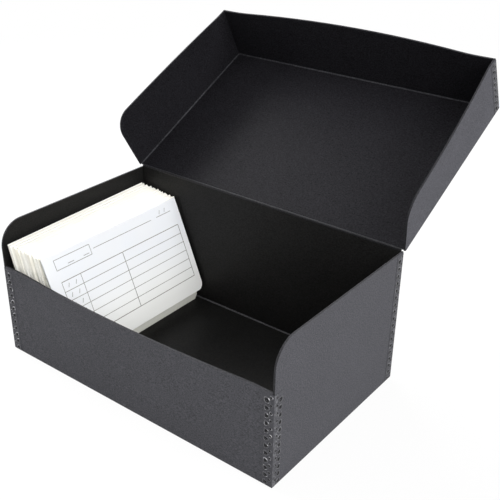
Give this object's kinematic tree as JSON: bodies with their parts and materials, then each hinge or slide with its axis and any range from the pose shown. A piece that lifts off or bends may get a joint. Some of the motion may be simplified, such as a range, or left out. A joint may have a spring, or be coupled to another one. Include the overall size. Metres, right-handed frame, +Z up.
{
  "type": "archival storage box",
  "caption": "Shallow board box with a hinged drop-front lid and stapled metal edges, holding a row of leaning photo envelopes with a printed form on the front one.",
  "frame": {"origin": "centre of the tray's underside", "axes": "+X to the right along the box's length, -Y to the low front wall, +Y to the lid's crease, +Z up"},
  "size_m": [0.3131, 0.3368, 0.2601],
  "materials": {
    "board": "matte",
    "metal_edge": "satin",
    "envelope_paper": "matte",
    "flap_paper": "matte"
  },
  "bodies": {
    "tray": {"tray_board": "board", "tray_edge_front_left": "metal_edge", "tray_edge_front_right": "metal_edge", "tray_edge_back_left": "metal_edge", "tray_edge_back_right": "metal_edge"},
    "lid": {"lid_board": "board", "lid_edge_left": "metal_edge", "lid_edge_right": "metal_edge"},
    "rear_bundle": {"envelope_01": "envelope_paper", "envelope_02": "envelope_paper", "envelope_03": "envelope_paper"},
    "envelope_04": {"envelope_04": "envelope_paper"},
    "envelope_05": {"envelope_05": "envelope_paper"},
    "envelope_06": {"envelope_06": "envelope_paper"},
    "envelope_07": {"envelope_07": "envelope_paper"},
    "envelope_08": {"envelope_08": "envelope_paper"},
    "envelope_09": {"envelope_09": "envelope_paper"},
    "envelope_10": {"envelope_10": "envelope_paper"},
    "envelope_11": {"envelope_11": "envelope_paper"},
    "envelope_12": {"envelope_12": "envelope_paper"},
    "envelope_13": {"envelope_13": "envelope_paper"},
    "envelope_14": {"envelope_14": "envelope_paper"},
    "envelope_15": {"envelope_15": "envelope_paper"},
    "envelope_16": {"envelope_16": "envelope_paper"},
    "envelope_17": {"envelope_17": "envelope_paper"},
    "envelope_18": {"envelope_18": "envelope_paper"},
    "envelope_19": {"envelope_19": "envelope_paper"},
    "envelope_20": {"envelope_20": "envelope_paper"},
    "envelope_21": {"envelope_21": "envelope_paper"},
    "envelope_22": {"envelope_22": "envelope_paper"},
    "envelope_23": {"envelope_23": "envelope_paper"},
    "envelope_24": {"envelope_24": "envelope_paper"},
    "envelope_24_flap": {"envelope_24_flap": "flap_paper"}
  },
  "joints": [
    {"name": "lid_hinge", "type": "hinge", "parent": "tray", "child": "lid", "pos_m": [0, 0.08675, 0.12645], "axis": [-1, 0, 0], "range_deg": [-153, 27]},
    {"name": "bundle_lift", "type": "slide", "parent": "tray", "child": "rear_bundle", "axis": [0, 0, 1], "range_m": [0, 0.131]},
    {"name": "envelope_04_lift", "type": "slide", "parent": "rear_bundle", "child": "envelope_04", "axis": [-0.2543, 0, 0.9671], "range_m": [0, 0.032]},
    {"name": "envelope_05_lift", "type": "slide", "parent": "rear_bundle", "child": "envelope_05", "axis": [-0.255, 0, 0.9669], "range_m": [0, 0.042]},
    {"name": "envelope_06_lift", "type": "slide", "parent": "rear_bundle", "child": "envelope_06", "axis": [-0.2557, 0, 0.9667], "range_m": [0, 0.052]},
    {"name": "envelope_07_lift", "type": "slide", "parent": "rear_bundle", "child": "envelope_07", "axis": [-0.2565, 0, 0.9666], "range_m": [0, 0.062]},
    {"name": "envelope_08_lift", "type": "slide", "parent": "rear_bundle", "child": "envelope_08", "axis": [-0.2572, 0, 0.9664], "range_m": [0, 0.072]},
    {"name": "envelope_09_lift", "type": "slide", "parent": "rear_bundle", "child": "envelope_09", "axis": [-0.2579, 0, 0.9662], "range_m": [0, 0.131]},
    {"name": "envelope_10_lift", "type": "slide", "parent": "rear_bundle", "child": "envelope_10", "axis": [-0.2587, 0, 0.966], "range_m": [0, 0.131]},
    {"name": "envelope_11_lift", "type": "slide", "parent": "rear_bundle", "child": "envelope_11", "axis": [-0.2594, 0, 0.9658], "range_m": [0, 0.131]},
    {"name": "envelope_12_lift", "type": "slide", "parent": "rear_bundle", "child": "envelope_12", "axis": [-0.2601, 0, 0.9656], "range_m": [0, 0.131]},
    {"name": "envelope_13_lift", "type": "slide", "parent": "rear_bundle", "child": "envelope_13", "axis": [-0.2609, 0, 0.9654], "range_m": [0, 0.131]},
    {"name": "envelope_14_lift", "type": "slide", "parent": "rear_bundle", "child": "envelope_14", "axis": [-0.2616, 0, 0.9652], "range_m": [0, 0.131]},
    {"name": "envelope_15_lift", "type": "slide", "parent": "rear_bundle", "child": "envelope_15", "axis": [-0.2623, 0, 0.965], "range_m": [0, 0.131]},
    {"name": "envelope_16_lift", "type": "slide", "parent": "rear_bundle", "child": "envelope_16", "axis": [-0.2631, 0, 0.9648], "range_m": [0, 0.131]},
    {"name": "envelope_17_lift", "type": "slide", "parent": "rear_bundle", "child": "envelope_17", "axis": [-0.2638, 0, 0.9646], "range_m": [0, 0.131]},
    {"name": "envelope_18_lift", "type": "slide", "parent": "rear_bundle", "child": "envelope_18", "axis": [-0.2645, 0, 0.9644], "range_m": [0, 0.131]},
    {"name": "envelope_19_lift", "type": "slide", "parent": "rear_bundle", "child": "envelope_19", "axis": [-0.2653, 0, 0.9642], "range_m": [0, 0.131]},
    {"name": "envelope_20_lift", "type": "slide", "parent": "rear_bundle", "child": "envelope_20", "axis": [-0.266, 0, 0.964], "range_m": [0, 0.131]},
    {"name": "envelope_21_lift", "type": "slide", "parent": "rear_bundle", "child": "envelope_21", "axis": [-0.2667, 0, 0.9638], "range_m": [0, 0.131]},
    {"name": "envelope_22_lift", "type": "slide", "parent": "rear_bundle", "child": "envelope_22", "axis": [-0.2675, 0, 0.9636], "range_m": [0, 0.131]},
    {"name": "envelope_23_lift", "type": "slide", "parent": "rear_bundle", "child": "envelope_23", "axis": [-0.2682, 0, 0.9634], "range_m": [0, 0.131]},
    {"name": "envelope_24_lift", "type": "slide", "parent": "rear_bundle", "child": "envelope_24", "axis": [-0.2689, 0, 0.9632], "range_m": [0, 0.131]},
    {"name": "flap_hinge", "type": "hinge", "parent": "envelope_24", "child": "envelope_24_flap", "pos_m": [-0.10078, 0, 0.10454], "axis": [0, -1, 0], "range_deg": [-6.8, 170]}
  ]
}
